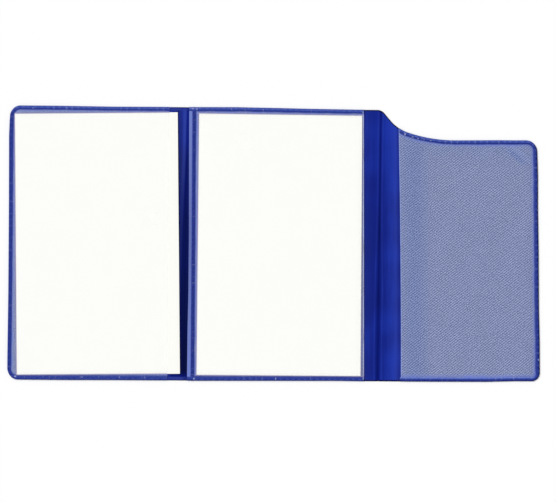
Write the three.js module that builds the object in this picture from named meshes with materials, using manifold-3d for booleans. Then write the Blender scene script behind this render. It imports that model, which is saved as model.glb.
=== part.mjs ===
// A trifold document holder of welded plastic film, lying open with its pockets up.
// Millimetres, +Z up. The origin is the middle of the middle panel's back, which lies on z = 0.
// +X runs from the left panel to the right one, +Y towards the top edge of the panels.

import * as THREE from 'three';
import { mergeVertices } from 'three/addons/utils/BufferGeometryUtils.js';
import Module from 'manifold-3d';

const wasm = await Module();
wasm.setup();

// Driving dimensions: the panels, measured between the fold lines and the cut edges
const panelHeight = 140;
const leftPanelWidth = 91;
const middlePanelWidth = 98.6;
const rightPanelWidth = 82.6;

// Driving dimensions: the round corners of the cut edge
const topLeftRadius = 5.3;
const bottomLeftRadius = 5.8;
const bottomRightRadius = 4;
const flapRadius = 5;

// Driving dimensions: the step in the right panel's top edge
const stepDrop = 15.5;
const shoulderInset = 1;
const shoulderRadius = 4.5;
const fallLength = 4.8;
const tightRadius = 21;
const wideRadius = 78;
const wideAngle = THREE.MathUtils.degToRad(17.5);

// Driving dimensions: the films and what lies in the pockets
const coverThickness = 0.3;
const filmThickness = 0.2;
const documentThickness = 0.2;
const documentPlay = 0.1;

// Driving dimensions: how far each pocket film stops short of its fold line
const leftMouthGap = 9.9;
const middleMouthGap = 8.3;
const rightMouthGap = 10.3;

// Driving dimensions: the welded edge, its pressed stitches and the seam beside the left fold
const weldWidth = 2;
const weldHeight = 0.28;
const weldShoulder = 0.35;
const grooveWidth = 0.45;
const grooveHeight = 0.1;
const filmSlopeWidth = 0.7;
const flangeWidth = 1.7;
const stitchPitch = 3.1;
const stitchLength = 2.1;
const stitchWidth = 0.55;
const stitchDepth = 0.14;

// Driving dimensions: the folds
const closedGap = 0.5;
const creaseWidth = 0.9;
const creaseDepth = 0.1;
const leftCreaseInset = 0.7;

// Driving dimensions: the gaps round the two sheets in their pockets, and how they lie there
const leftSheetEndGap = 1.65;
const leftSheetSideGap = 4.1;
const leftSheetFoldGap = 4.7;
const leftSheetDrop = 0.2;
const leftSheetTilt = THREE.MathUtils.degToRad(1);
const middleSheetEndGap = 1.2;
const middleSheetSideGap = 1.4;
const middleSheetMouthGap = 1.4;
const middleSheetDrop = 0.3;
const middleSheetTilt = THREE.MathUtils.degToRad(-0.25);

// Places that follow from the driving dimensions
const top = panelHeight / 2;
const bottom = -panelHeight / 2;
const leftFold = -middlePanelWidth / 2;
const rightFold = middlePanelWidth / 2;
const leftEdge = leftFold - leftPanelWidth;
const rightEdge = rightFold + rightPanelWidth;
const flapTop = top - stepDrop;
const leftMouth = leftFold - leftMouthGap;
const middleMouth = rightFold - middleMouthGap;
const rightMouth = rightFold + rightMouthGap;
const seamOuter = leftFold + flangeWidth;
const seamInner = seamOuter + weldWidth;

// Each sheet is cut to fit its own pocket: they come out at 82.2 by 132.7 and 83.8 by 133.6
const leftSheetStart = leftEdge + leftSheetSideGap;
const leftSheetWidth = leftFold - leftSheetFoldGap - leftSheetStart;
const leftSheetHeight = panelHeight - 2 * (weldWidth + leftSheetEndGap);
const middleSheetStart = seamInner + middleSheetSideGap;
const middleSheetWidth = middleMouth - middleSheetMouthGap - middleSheetStart;
const middleSheetHeight = panelHeight - 2 * (weldWidth + middleSheetEndGap);

// Levels that follow from the thicknesses
const coverTop = coverThickness;
const marginTop = coverTop + filmThickness;
const pocketCeiling = coverTop + documentThickness + 2 * documentPlay;
const filmTop = pocketCeiling + filmThickness;
const weldTop = marginTop + weldHeight;
const grooveTop = marginTop + grooveHeight;

// Each fold is a half turn round a line at half the closed stack's height,
// so its strip of bare cover is as wide as that half turn is long
const panelStack = Math.max(filmTop, weldTop);
const rightFoldHeight = panelStack + closedGap / 2;
const leftFoldHeight = (3 * panelStack + 2 * closedGap) / 2;
const rightStripWidth = Math.PI * rightFoldHeight;
const leftStripWidth = Math.PI * leftFoldHeight;
const leftStripStart = leftFold - leftStripWidth;
const rightStripStart = rightFold - rightStripWidth / 2;
const rightStripEnd = rightFold + rightStripWidth / 2;

// How finely the round stretches are drawn, and how far a cutting block reaches past the part
const cornerSteps = 6;
const shoulderSteps = 5;
const tightSteps = 4;
const wideSteps = 6;
const cutMargin = 5;
const smallestRadius = 0.2;

// Points of an arc about a centre, by angles in radians
function arc(cx, cy, radius, from, to, steps) {
  const points = [];
  for (let i = 0; i <= steps; i++) {
    const angle = from + ((to - from) * i) / steps;
    points.push(new THREE.Vector2(cx + radius * Math.cos(angle), cy + radius * Math.sin(angle)));
  }
  return points;
}

// Each corner of the cut edge: its sharp point, the way into the cover, and where its arc begins
const bottomLeft = { x: leftEdge, y: bottom, inX: 1, inY: 1, radius: bottomLeftRadius, from: Math.PI };
const bottomRight = { x: rightEdge, y: bottom, inX: -1, inY: 1, radius: bottomRightRadius, from: 1.5 * Math.PI };
const flapCorner = { x: rightEdge, y: flapTop, inX: -1, inY: -1, radius: flapRadius, from: 0 };
const topLeft = { x: leftEdge, y: top, inX: 1, inY: -1, radius: topLeftRadius, from: Math.PI / 2 };

// The points of a corner that has been moved in by inset. One smaller than the inset ends nearly sharp
function corner(sharp, inset) {
  const radius = Math.max(sharp.radius - inset, smallestRadius);
  const cx = sharp.x + sharp.inX * (inset + radius);
  const cy = sharp.y + sharp.inY * (inset + radius);
  return arc(cx, cy, radius, sharp.from, sharp.from + Math.PI / 2, cornerSteps);
}

// The fall's angle is what joins the shoulder, the straight fall and the two hollow arcs over stepDrop
function fallAngle() {
  const round = shoulderRadius + tightRadius;
  const rise = stepDrop - (wideRadius - tightRadius) * (1 - Math.cos(wideAngle));
  const reach = Math.hypot(round, fallLength);
  return Math.atan2(round, fallLength) + Math.asin((rise - round) / reach);
}

// The step from the flap's top up to the middle panel's top, drawn from right to left
function stepCurve(inset) {
  const fall = fallAngle();
  const shoulderX = rightFold - shoulderInset;
  const shoulderY = top - shoulderRadius;
  const fallX = shoulderX + shoulderRadius * Math.sin(fall) + fallLength * Math.cos(fall);
  const tightX = fallX + tightRadius * Math.sin(fall);
  const wideX = tightX + (wideRadius - tightRadius) * Math.sin(wideAngle);
  const wideY = flapTop + wideRadius;
  const tightY = wideY - (wideRadius - tightRadius) * Math.cos(wideAngle);
  const down = -Math.PI / 2;
  return [
    ...arc(wideX, wideY, wideRadius + inset, down, down - wideAngle, wideSteps),
    ...arc(tightX, tightY, tightRadius + inset, down - wideAngle, down - fall, tightSteps).slice(1),
    ...arc(shoulderX, shoulderY, shoulderRadius - inset, Math.PI / 2 - fall, Math.PI / 2, shoulderSteps)
  ];
}

// The cut edge of the whole cover, moved in by inset, anticlockwise
function coverOutline(inset) {
  return [
    ...corner(bottomLeft, inset),
    ...corner(bottomRight, inset),
    ...corner(flapCorner, inset),
    ...stepCurve(inset),
    ...corner(topLeft, inset)
  ];
}

// The middle pocket's outline: its top and bottom are the cover's edges moved in by inset,
// its left side is given, and its right side runs on past the pocket's mouth
function middleOutline(inset, left) {
  const right = middleMouth + cutMargin;
  return [
    new THREE.Vector2(left, bottom + inset),
    new THREE.Vector2(right, bottom + inset),
    new THREE.Vector2(right, top - inset),
    new THREE.Vector2(left, top - inset)
  ];
}

// A geometry from corner points and triangles
function geometryOf(points, triangles) {
  const geometry = new THREE.BufferGeometry();
  geometry.setAttribute('position', new THREE.Float32BufferAttribute(points.flat(), 3));
  geometry.setIndex(triangles.flat());
  return geometry;
}

// A closed body between rings of equal point counts. Each ring is an outline at a level, and the rings
// run from the outside in over the top and back out underneath
function ringBody(rings) {
  const count = rings[0].outline.length;
  const points = rings.flatMap(({ outline, z }) => outline.map((p) => [p.x, p.y, z]));
  const triangles = [];
  rings.forEach((ring, r) => {
    const next = ((r + 1) % rings.length) * count;
    for (let i = 0; i < count; i++) {
      const j = (i + 1) % count;
      triangles.push([r * count + i, r * count + j, next + j], [r * count + i, next + j, next + i]);
    }
  });
  return geometryOf(points, triangles);
}

// A film of even thickness, draped over rings that run from its edge in, and closed across the last one
function drapedFilm(rings, thickness) {
  const count = rings[0].outline.length;
  const layer = rings.length * count;
  const lower = rings.flatMap(({ outline, z }) => outline.map((p) => [p.x, p.y, z]));
  const upper = lower.map(([x, y, z]) => [x, y, z + thickness]);
  const triangles = [];
  for (let r = 0; r + 1 < rings.length; r++) {
    for (let i = 0; i < count; i++) {
      const a = r * count + i;
      const b = r * count + ((i + 1) % count);
      triangles.push([a, b + count, b], [a, a + count, b + count]);
      triangles.push([layer + a, layer + b, layer + b + count], [layer + a, layer + b + count, layer + a + count]);
    }
  }
  for (let i = 0; i < count; i++) {
    const j = (i + 1) % count;
    triangles.push([i, j, layer + j], [i, layer + j, layer + i]);
  }
  const inner = layer - count;
  for (const [a, b, c] of THREE.ShapeUtils.triangulateShape(rings.at(-1).outline, [])) {
    triangles.push([layer + inner + a, layer + inner + b, layer + inner + c]);
    triangles.push([inner + a, inner + c, inner + b]);
  }
  return geometryOf(lower.concat(upper), triangles);
}

// A block by its two corners
function block(x0, x1, y0, y1, z0, z1) {
  const geometry = new THREE.BoxGeometry(x1 - x0, y1 - y0, z1 - z0);
  return geometry.translate((x0 + x1) / 2, (y0 + y1) / 2, (z0 + z1) / 2);
}

// A block that takes in everything between two places along X
function slab(x0, x1) {
  return block(x0, x1, bottom - cutMargin, top + cutMargin, -cutMargin, panelStack + cutMargin);
}

function toSolid(geometry) {
  const bare = geometry.clone();
  bare.deleteAttribute('normal');
  bare.deleteAttribute('uv');
  const merged = mergeVertices(bare, 1e-5);
  const index = merged.index.array;
  return new wasm.Manifold(new wasm.Mesh({
    numProp: 3,
    vertProperties: new Float32Array(merged.attributes.position.array),
    triVerts: new Uint32Array(index)
  }));
}

function toGeometry(solid) {
  const mesh = solid.getMesh();
  const geometry = new THREE.BufferGeometry();
  geometry.setAttribute('position', new THREE.BufferAttribute(mesh.vertProperties, 3));
  geometry.setIndex(new THREE.BufferAttribute(mesh.triVerts, 1));
  geometry.computeVertexNormals();
  return geometry;
}

// The part of a solid that lies between two places along X
function between(solid, x0, x1) {
  return solid.intersect(toSolid(slab(x0, x1)));
}

// The cover is one sheet of opaque film, and its pressed creases are V-shaped lines in its inner face
function coverSheet() {
  const shape = new THREE.Shape(coverOutline(0));
  return toSolid(new THREE.ExtrudeGeometry(shape, { depth: coverThickness, bevelEnabled: false }));
}

function creaseCutter(x) {
  const over = creaseDepth;
  const halfWidth = (creaseWidth / 2) * ((creaseDepth + over) / creaseDepth);
  const section = new THREE.Shape([
    new THREE.Vector2(0, coverTop - creaseDepth),
    new THREE.Vector2(halfWidth, coverTop + over),
    new THREE.Vector2(-halfWidth, coverTop + over)
  ]);
  const length = panelHeight + 2 * cutMargin;
  const groove = new THREE.ExtrudeGeometry(section, { depth: length, bevelEnabled: false });
  return toSolid(groove.rotateX(Math.PI / 2).translate(x, length / 2, 0));
}

// The side pockets' film lies flat under the weld and rises over a short slope to clear the sheet
function sidePocketFilm() {
  return toSolid(drapedFilm([
    { outline: coverOutline(0), z: coverTop },
    { outline: coverOutline(weldWidth), z: coverTop },
    { outline: coverOutline(weldWidth + filmSlopeWidth), z: pocketCeiling }
  ], filmThickness));
}

// The middle pocket's film has a free flange on the fold's side of its seam
function middlePocketFilm() {
  return toSolid(drapedFilm([
    { outline: middleOutline(0, leftFold), z: coverTop },
    { outline: middleOutline(weldWidth, seamInner), z: coverTop },
    { outline: middleOutline(weldWidth + filmSlopeWidth, seamInner + filmSlopeWidth), z: pocketCeiling }
  ], filmThickness));
}

// The weld's section runs from the cut edge in: a shouldered bead, then a lower groove beside the film
function weldProfile() {
  return [
    [0, marginTop],
    [0, weldTop - weldShoulder / 2],
    [weldShoulder, weldTop],
    [weldWidth - grooveWidth - weldShoulder, weldTop],
    [weldWidth - grooveWidth, grooveTop],
    [weldWidth, grooveTop],
    [weldWidth, marginTop]
  ];
}

function edgeWeld() {
  return toSolid(ringBody(weldProfile().map(([inset, z]) => ({ outline: coverOutline(inset), z }))));
}

// A straight length of weld along X or Y, whose section is the same profile
function straightWeld(length) {
  const section = new THREE.Shape(weldProfile().map(([inset, z]) => new THREE.Vector2(inset, z)).reverse());
  return new THREE.ExtrudeGeometry(section, { depth: length, bevelEnabled: false }).rotateX(Math.PI / 2);
}

// The seam beside the left fold joins the top and bottom welds of the middle pocket
function foldSeam() {
  const reach = top - weldWidth / 2;
  return toSolid(straightWeld(2 * reach).translate(seamOuter, reach, 0));
}

// The line down the middle of the bead that the pressed stitches follow
const stitchInset = (weldWidth - grooveWidth) / 2;

// The stretch of a line that lies past x, on the side that way points to, ending on x itself
function stretchPast(points, x, way) {
  const kept = [];
  points.forEach((point, i) => {
    const before = points[i - 1];
    const inside = way * (point.x - x) > 0;
    if (before && inside !== way * (before.x - x) > 0) {
      kept.push(before.clone().lerp(point, (x - before.x) / (point.x - before.x)));
    }
    if (inside) kept.push(point);
  });
  return kept;
}

// Pressed stitches: short blocks spaced evenly along a run of the weld, each turned to follow it
function stitchesAlong(run) {
  const lengths = run.slice(1).map((point, i) => point.distanceTo(run[i]));
  const total = lengths.reduce((sum, length) => sum + length, 0);
  const count = Math.floor(total / stitchPitch);
  const cutters = [];
  let piece = 0;
  let passed = 0;
  for (let i = 0; i < count; i++) {
    const due = total / 2 + (i - (count - 1) / 2) * stitchPitch;
    while (due > passed + lengths[piece]) passed += lengths[piece++];
    const step = run[piece + 1].clone().sub(run[piece]);
    const at = run[piece].clone().addScaledVector(step, (due - passed) / lengths[piece]);
    const cutter = new THREE.BoxGeometry(stitchLength, stitchWidth, 2 * stitchDepth);
    cutters.push(toSolid(cutter.rotateZ(step.angle()).translate(at.x, at.y, weldTop)));
  }
  return wasm.Manifold.union(cutters);
}

// The left pocket's run goes along the top, down the outer edge and back along the bottom
function leftStitches() {
  return stitchesAlong([
    new THREE.Vector2(leftMouth, top - stitchInset),
    ...corner(topLeft, stitchInset),
    ...corner(bottomLeft, stitchInset),
    new THREE.Vector2(leftMouth, bottom + stitchInset)
  ]);
}

// The right pocket's run goes along the bottom, up the outer edge and back over the step
function rightStitches() {
  return stitchesAlong([
    new THREE.Vector2(rightMouth, bottom + stitchInset),
    ...corner(bottomRight, stitchInset),
    ...corner(flapCorner, stitchInset),
    ...stretchPast(stepCurve(stitchInset), rightMouth, 1)
  ]);
}

// The middle pocket's three straight runs stop short of the corners where they meet
function middleStitches() {
  const seamX = seamOuter + stitchInset;
  const seamReach = top - weldWidth;
  const runs = [
    [new THREE.Vector2(middleMouth, top - stitchInset), new THREE.Vector2(seamInner, top - stitchInset)],
    [new THREE.Vector2(seamX, seamReach), new THREE.Vector2(seamX, -seamReach)],
    [new THREE.Vector2(seamInner, bottom + stitchInset), new THREE.Vector2(middleMouth, bottom + stitchInset)]
  ];
  return wasm.Manifold.union(runs.map(stitchesAlong));
}

// A blank sheet of thin card
function documentSheet(width, height) {
  return new THREE.BoxGeometry(width, height, documentThickness);
}

// The finishes: opaque blue film, clear embossed film, the fused edge, and white card
const coverFinish = new THREE.MeshStandardMaterial({ color: 0x1f2f92, roughness: 0.42, metalness: 0 });
const filmFinish = new THREE.MeshStandardMaterial({
  color: 0xb4bce0, roughness: 0.35, metalness: 0, transparent: true, opacity: 0.45
});
const weldFinish = new THREE.MeshStandardMaterial({ color: 0x2b3a94, roughness: 0.38, metalness: 0 });
const cardFinish = new THREE.MeshStandardMaterial({ color: 0xfbfbf6, roughness: 0.85, metalness: 0 });

const holder = new THREE.Group();

function place(name, geometry, finish) {
  const mesh = new THREE.Mesh(geometry, finish);
  mesh.name = name;
  holder.add(mesh);
  return mesh;
}

// The cover, parted where its folds begin and end
const cover = coverSheet()
  .subtract(creaseCutter(leftFold - leftCreaseInset))
  .subtract(creaseCutter(rightFold));
const farLeft = leftEdge - cutMargin;
const farRight = rightEdge + cutMargin;
place('cover_left_panel', toGeometry(between(cover, farLeft, leftStripStart)), coverFinish);
place('left_fold_strip', toGeometry(between(cover, leftStripStart, leftFold)), coverFinish);
place('cover_middle_panel', toGeometry(between(cover, leftFold, rightStripStart)), coverFinish);
place('right_fold_strip', toGeometry(between(cover, rightStripStart, rightStripEnd)), coverFinish);
place('cover_right_panel', toGeometry(between(cover, rightStripEnd, farRight)), coverFinish);

// The pocket films, each cut at its mouth
const sideFilm = sidePocketFilm();
place('left_pocket_film', toGeometry(between(sideFilm, farLeft, leftMouth)), filmFinish);
place('middle_pocket_film', toGeometry(between(middlePocketFilm(), leftFold, middleMouth)), filmFinish);
place('right_pocket_film', toGeometry(between(sideFilm, rightMouth, farRight)), filmFinish);

// The welded edges, each as long as its film
const weld = edgeWeld();
const leftWeld = between(weld, farLeft, leftMouth).subtract(leftStitches());
const middleWeld = between(weld, leftFold, middleMouth).add(foldSeam()).subtract(middleStitches());
const rightWeld = between(weld, rightMouth, farRight).subtract(rightStitches());
place('left_edge_weld', toGeometry(leftWeld), weldFinish);
place('middle_edge_weld', toGeometry(middleWeld), weldFinish);
place('right_edge_weld', toGeometry(rightWeld), weldFinish);

// The sheets, each lying in its pocket with play above and below
const sheetLevel = coverTop + documentPlay + documentThickness / 2;
const leftSheet = place('left_document', documentSheet(leftSheetWidth, leftSheetHeight), cardFinish);
leftSheet.position.set(leftSheetStart + leftSheetWidth / 2, -leftSheetDrop, sheetLevel);
leftSheet.rotation.z = leftSheetTilt;
const middleSheet = place('middle_document', documentSheet(middleSheetWidth, middleSheetHeight), cardFinish);
middleSheet.position.set(middleSheetStart + middleSheetWidth / 2, -middleSheetDrop, sheetLevel);
middleSheet.rotation.z = middleSheetTilt;

export default holder;
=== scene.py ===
# A trifold document holder of welded vinyl film, lying open with its pockets up.
# Sizes are worked out in millimetres and turned to metres when a mesh is made.
import math
import bpy
import numpy as np
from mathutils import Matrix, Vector


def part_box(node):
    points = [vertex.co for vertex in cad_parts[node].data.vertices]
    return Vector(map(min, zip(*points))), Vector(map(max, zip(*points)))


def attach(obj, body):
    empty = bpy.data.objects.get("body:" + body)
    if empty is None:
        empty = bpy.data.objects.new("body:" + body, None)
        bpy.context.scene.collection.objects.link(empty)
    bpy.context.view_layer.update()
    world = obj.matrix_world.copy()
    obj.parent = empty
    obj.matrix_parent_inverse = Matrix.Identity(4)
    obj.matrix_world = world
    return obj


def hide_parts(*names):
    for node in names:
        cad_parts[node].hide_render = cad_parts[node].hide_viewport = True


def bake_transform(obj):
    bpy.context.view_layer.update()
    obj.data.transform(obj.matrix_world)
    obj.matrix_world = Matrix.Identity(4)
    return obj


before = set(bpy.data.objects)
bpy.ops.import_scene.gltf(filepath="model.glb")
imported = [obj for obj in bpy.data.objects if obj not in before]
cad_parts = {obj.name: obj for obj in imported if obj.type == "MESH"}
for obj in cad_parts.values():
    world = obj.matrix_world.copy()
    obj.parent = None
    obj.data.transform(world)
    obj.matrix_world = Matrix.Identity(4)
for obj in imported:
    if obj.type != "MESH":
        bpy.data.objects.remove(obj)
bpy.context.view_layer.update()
mm = 0.001
print("frame loaded")


# Places, read from the frame
def span(node, axis):
    low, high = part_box(node)
    return low[axis] / mm, high[axis] / mm


leftEdge, leftStripStart = span("cover_left_panel", 0)
leftFold = span("left_fold_strip", 0)[1]
rightStripStart, rightStripEnd = span("right_fold_strip", 0)
rightFold = (rightStripStart + rightStripEnd) / 2
rightEdge = span("cover_right_panel", 0)[1]
bottomEdge, topEdge = span("cover_middle_panel", 1)
coverTop = span("cover_middle_panel", 2)[1]
leftMouth = span("left_pocket_film", 0)[1]
middleMouth = span("middle_pocket_film", 0)[1]
rightMouth = span("right_pocket_film", 0)[0]
pocketTop = span("left_pocket_film", 2)[1]
weldBottom = span("left_edge_weld", 2)[0]
filmThickness = weldBottom - coverTop
pocketCeiling = pocketTop - filmThickness

# The cut edge and the borders, in the solids' own sizes
outline = {
    "topLeftRadius": 5.3,
    "bottomLeftRadius": 5.8,
    "bottomRightRadius": 4,
    "flapRadius": 5,
    "stepDrop": 15.5,
    "shoulderInset": 1,
    "shoulderRadius": 4.5,
    "fallLength": 4.8,
    "tightRadius": 21,
    "wideRadius": 78,
    "wideAngle": math.radians(17.5),
    "weldWidth": 2,
    "flangeWidth": 1.7,
    "cornerPieces": 10,    # straight pieces in a corner of the cut edge
    "arcPieces": 24,       # and in each arc of the step
}
flapTop = topEdge - outline["stepDrop"]
seamOuter = leftFold + outline["flangeWidth"]
seamInner = seamOuter + outline["weldWidth"]

camera = {
    "lens": 85,
    "sensor": 36,
    "place": (-0.0405, -0.0438, 0.6712),
    "turn": (3.396, -3.196, 0.198),    # degrees
    "nearest": 0.01,
}


def addThing(name, data):
    thing = bpy.data.objects.new(name, data)
    bpy.context.scene.collection.objects.link(thing)
    return thing


def addCamera():
    data = bpy.data.cameras.new("camera")
    data.lens = camera["lens"]
    data.sensor_fit = "HORIZONTAL"
    data.sensor_width = camera["sensor"]
    data.clip_start = camera["nearest"]
    thing = addThing("camera", data)
    thing.location = camera["place"]
    thing.rotation_euler = [math.radians(angle) for angle in camera["turn"]]
    bpy.context.scene.camera = thing


def toLinear(colour):
    # sRGB hex to linear, with alpha 1
    parts = [int(colour[i:i + 2], 16) / 255 for i in (1, 3, 5)]
    return [c / 12.92 if c <= 0.04045 else ((c + 0.055) / 1.055) ** 2.4 for c in parts] + [1]


def addNode(tree, kind, inputs=None, stops=(), **settings):
    # An input is a value, a socket, or a node, whose first output is meant. Stops are a ramp's colours
    node = tree.nodes.new("ShaderNode" + kind)
    for name, value in settings.items():
        setattr(node, name, value)
    for key, value in (inputs or {}).items():
        if isinstance(value, bpy.types.Node):
            value = value.outputs[0]
        if isinstance(value, bpy.types.NodeSocket):
            tree.links.new(value, node.inputs[key])
        else:
            node.inputs[key].default_value = value
    for i, (place, colour) in enumerate(stops):
        element = node.color_ramp.elements[i] if i < 2 else node.color_ramp.elements.new(place)
        element.position = place
        element.color = toLinear(colour)
    return node


light = {
    "ambient": 0.56,     # how strongly the white room lights matt surfaces
    "lampStrength": 2.0,
    "lampWidth": 24,     # degrees across, as a large window is from some way off
    "lampFrom": (-0.80, 0.42, 0.90),
    "floorColour": "#fefefe",
    "floorLevel": -0.02,    # mm
    "floorReach": 3.0,      # metres each way
}


def addLight():
    world = bpy.data.worlds.new("whiteRoom")
    world.use_nodes = True
    tree = world.node_tree
    tree.nodes.clear()
    path = addNode(tree, "LightPath")
    seen = path.outputs["Is Camera Ray"]
    for ray in ("Is Glossy Ray", "Is Transmission Ray"):
        seen = addNode(tree, "Math", {0: seen, 1: path.outputs[ray]}, operation="ADD", use_clamp=True)
    strength = addNode(tree, "MapRange", {"Value": seen, "To Min": light["ambient"], "To Max": 1.0})
    room = addNode(tree, "Background", {"Color": (1, 1, 1, 1), "Strength": strength})
    addNode(tree, "OutputWorld", {"Surface": room})
    bpy.context.scene.world = world

    data = bpy.data.lights.new("windowLight", "SUN")
    data.energy = light["lampStrength"]
    data.angle = math.radians(light["lampWidth"])
    lamp = addThing("windowLight", data)
    lamp.location = light["lampFrom"]
    lamp.rotation_euler = Vector(light["lampFrom"]).to_track_quat("Z", "Y").to_euler()


# Small shapes that the pieces share
def ease(t):
    t = np.clip(t, 0, 1)
    return t * t * (3 - 2 * t)


def bump(t):
    # A smooth hump, 1 at t = 0 and 0 at t = -1 and 1
    return np.clip(1 - t * t, 0, 1) ** 2


def curveThrough(stops, t):
    # The value at t along a list of places and values
    return np.interp(t, *np.array(stops).T)


def softWaves(x, y, seed, size):
    # Gentle waves in seeded directions. Their size is a height, which they seldom pass, and a length
    height, wavelength = size
    count = 7
    draw = np.random.default_rng(seed)
    total = np.zeros(np.broadcast(x, y).shape)
    for _ in range(count):
        angle = draw.uniform(0, math.tau)
        length = wavelength * draw.uniform(0.7, 1.6)
        phase = draw.uniform(0, math.tau)
        total += np.sin(math.tau * (x * math.cos(angle) + y * math.sin(angle)) / length + phase)
    return height * (total / math.sqrt(count))


def arcPoints(cx, cy, radius, start, end, pieces):
    angle = np.linspace(start, end, pieces + 1)
    return np.stack([cx + radius * np.cos(angle), cy + radius * np.sin(angle)], -1)


# The step's arcs: a round shoulder, a straight fall, and two hollow arcs that run out into the flap's top
down = -math.pi / 2


def stepPlaces():
    shoulder, tight, wide = outline["shoulderRadius"], outline["tightRadius"], outline["wideRadius"]
    angle = outline["wideAngle"]
    rise = outline["stepDrop"] - (wide - tight) * (1 - math.cos(angle))
    reach = math.hypot(shoulder + tight, outline["fallLength"])
    fall = math.atan2(shoulder + tight, outline["fallLength"]) + math.asin((rise - shoulder - tight) / reach)
    shoulderX = rightFold - outline["shoulderInset"]
    fallX = shoulderX + shoulder * math.sin(fall) + outline["fallLength"] * math.cos(fall)
    tightX = fallX + tight * math.sin(fall)
    wideX = tightX + (wide - tight) * math.sin(angle)
    wideY = flapTop + wide
    return {
        "fall": fall,
        "shoulder": (shoulderX, topEdge - shoulder),
        "tight": (tightX, wideY - (wide - tight) * math.cos(angle)),
        "wide": (wideX, wideY),
    }


step = stepPlaces()


def stepLine():
    # The step's cut edge, from right to left
    angle, fall, pieces = outline["wideAngle"], step["fall"], outline["arcPieces"]
    return np.vstack([
        arcPoints(*step["wide"], outline["wideRadius"], down, down - angle, pieces),
        arcPoints(*step["tight"], outline["tightRadius"], down - angle, down - fall, pieces),
        arcPoints(*step["shoulder"], outline["shoulderRadius"], -down - fall, -down, pieces),
    ])


# Each corner of the cut edge: its sharp point, the way into the cover, its radius, and where its arc begins
corners = {
    "topLeft": (leftEdge, topEdge, 1, -1, outline["topLeftRadius"], -down),
    "bottomLeft": (leftEdge, bottomEdge, 1, 1, outline["bottomLeftRadius"], -2 * down),
    "bottomRight": (rightEdge, bottomEdge, -1, 1, outline["bottomRightRadius"], down),
    "flap": (rightEdge, flapTop, -1, -1, outline["flapRadius"], 0),
}


def cornerLine(name, inset=0.0, pieces=outline["cornerPieces"]):
    x, y, inX, inY, radius, start = corners[name]
    return arcPoints(x + inX * radius, y + inY * radius, radius - inset, start, start - down, pieces)


# The cut edge of the cover, as one line along the top and one along the bottom, both from left to right
topLine = np.vstack([cornerLine("topLeft")[::-1], stepLine()[::-1], cornerLine("flap")[::-1]])
bottomLine = np.vstack([cornerLine("bottomLeft"), cornerLine("bottomRight")])


def topAt(x):
    return np.interp(x, topLine[:, 0], topLine[:, 1])


def bottomAt(x):
    return np.interp(x, bottomLine[:, 0], bottomLine[:, 1])


# How the cut edges lie: how far off straight they are, to the right or up, by place along each
edgeLie = {
    "left": [(-70, 0.7), (-58, 0.6), (-25, 0.54), (0, 0.34), (22, 0.11), (45, -0.18), (54, -0.3),
             (62, -0.1), (68, 0.2)],
    "right": [(-66, 0.25), (-50, 0.32), (-33, 0.08), (-3, 0.18), (20, 0.03), (36, 0.18),
              (46, 0), (52, -0.18)],
    "foot": [(-138, 0.45), (-125, 0.35), (-110, 0.24), (-86, 0.22), (-60, 0.1), (-45, -0.07), (29, -0.05),
             (42, -0.25), (68, -0.38), (104, -0.45), (119, -0.12), (129, -0.1), (131.5, 0.12)],
    "top": [(-138, -0.3), (-117, -0.2), (-88, -0.3), (-62, -0.1), (-50, -0.05), (-25, 0.25), (-4, 0.07),
            (14, -0.13), (37, -0.25), (60, -0.17), (89, -0.17), (101, 0), (112, 0.19), (120, 0.2),
            (126, 0.3), (131.5, -0.25)],
    "reach": 6,    # how far in from the edge that takes to fade out
}


def settled(x, y):
    # Where a point of the cover, a film or a weld lies
    reach = edgeLie["reach"]
    right = curveThrough(edgeLie["left"], y) * ease(1 - (x - leftEdge) / reach)
    right = right + curveThrough(edgeLie["right"], y) * ease(1 - (rightEdge - x) / reach)
    up = curveThrough(edgeLie["top"], x) * ease(1 - (topAt(x) - y) / reach)
    up = up + curveThrough(edgeLie["foot"], x) * ease(1 - (y - bottomAt(x)) / reach)
    return x + right, y + up


def edgeDistance(x, y):
    # How far each point lies in from the cover's cut edge
    line = np.vstack([bottomLine, topLine[::-1], bottomLine[:1]])
    best = np.full(x.shape, np.inf)
    for (ax, ay), (bx, by) in zip(line[:-1], line[1:]):
        dx, dy = bx - ax, by - ay
        length = dx * dx + dy * dy
        if length < 1e-12:    # two points at one place
            continue
        t = np.clip(((x - ax) * dx + (y - ay) * dy) / length, 0, 1)
        best = np.minimum(best, (x - ax - t * dx) ** 2 + (y - ay - t * dy) ** 2)
    return np.sqrt(best)


def places(start, end, pitch, nearStart=(), nearEnd=()):
    # Evenly spaced places, with closer ones at given distances from either end
    first = start + max(nearStart, default=0)
    last = end - max(nearEnd, default=0)
    count = max(1, round((last - first) / pitch))
    found = [start] + [start + d for d in nearStart] + list(np.linspace(first, last, count + 1))
    found += [end - d for d in nearEnd] + [end]
    return np.unique(np.round(found, 5))


# How far apart a grid's lines are, along the two wider panels, across a strip, and elsewhere
grid = {"panel": 1.5, "strip": 0.18, "pitch": 1.4}


def panelGrid(columns, insets):
    # Points over a stretch of the cover: columns along X, and rows that follow its top and bottom edges
    low, high = bottomAt(columns), topAt(columns)
    deepest = max(insets)
    count = round((topEdge - bottomEdge) / grid["pitch"])
    share = np.linspace(0, 1, count + 1)
    rows = [low + d for d in sorted(insets)[:-1]]
    rows += [low + deepest + (high - low - 2 * deepest) * s for s in share]
    rows += [high - d for d in sorted(insets, reverse=True)[1:]]
    y = np.stack(rows, 1)
    x = np.repeat(columns[:, None], y.shape[1], 1)
    return x, y


sharpAngle = math.radians(42)    # a sharper bend in a mesh is shaded as an edge


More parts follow.
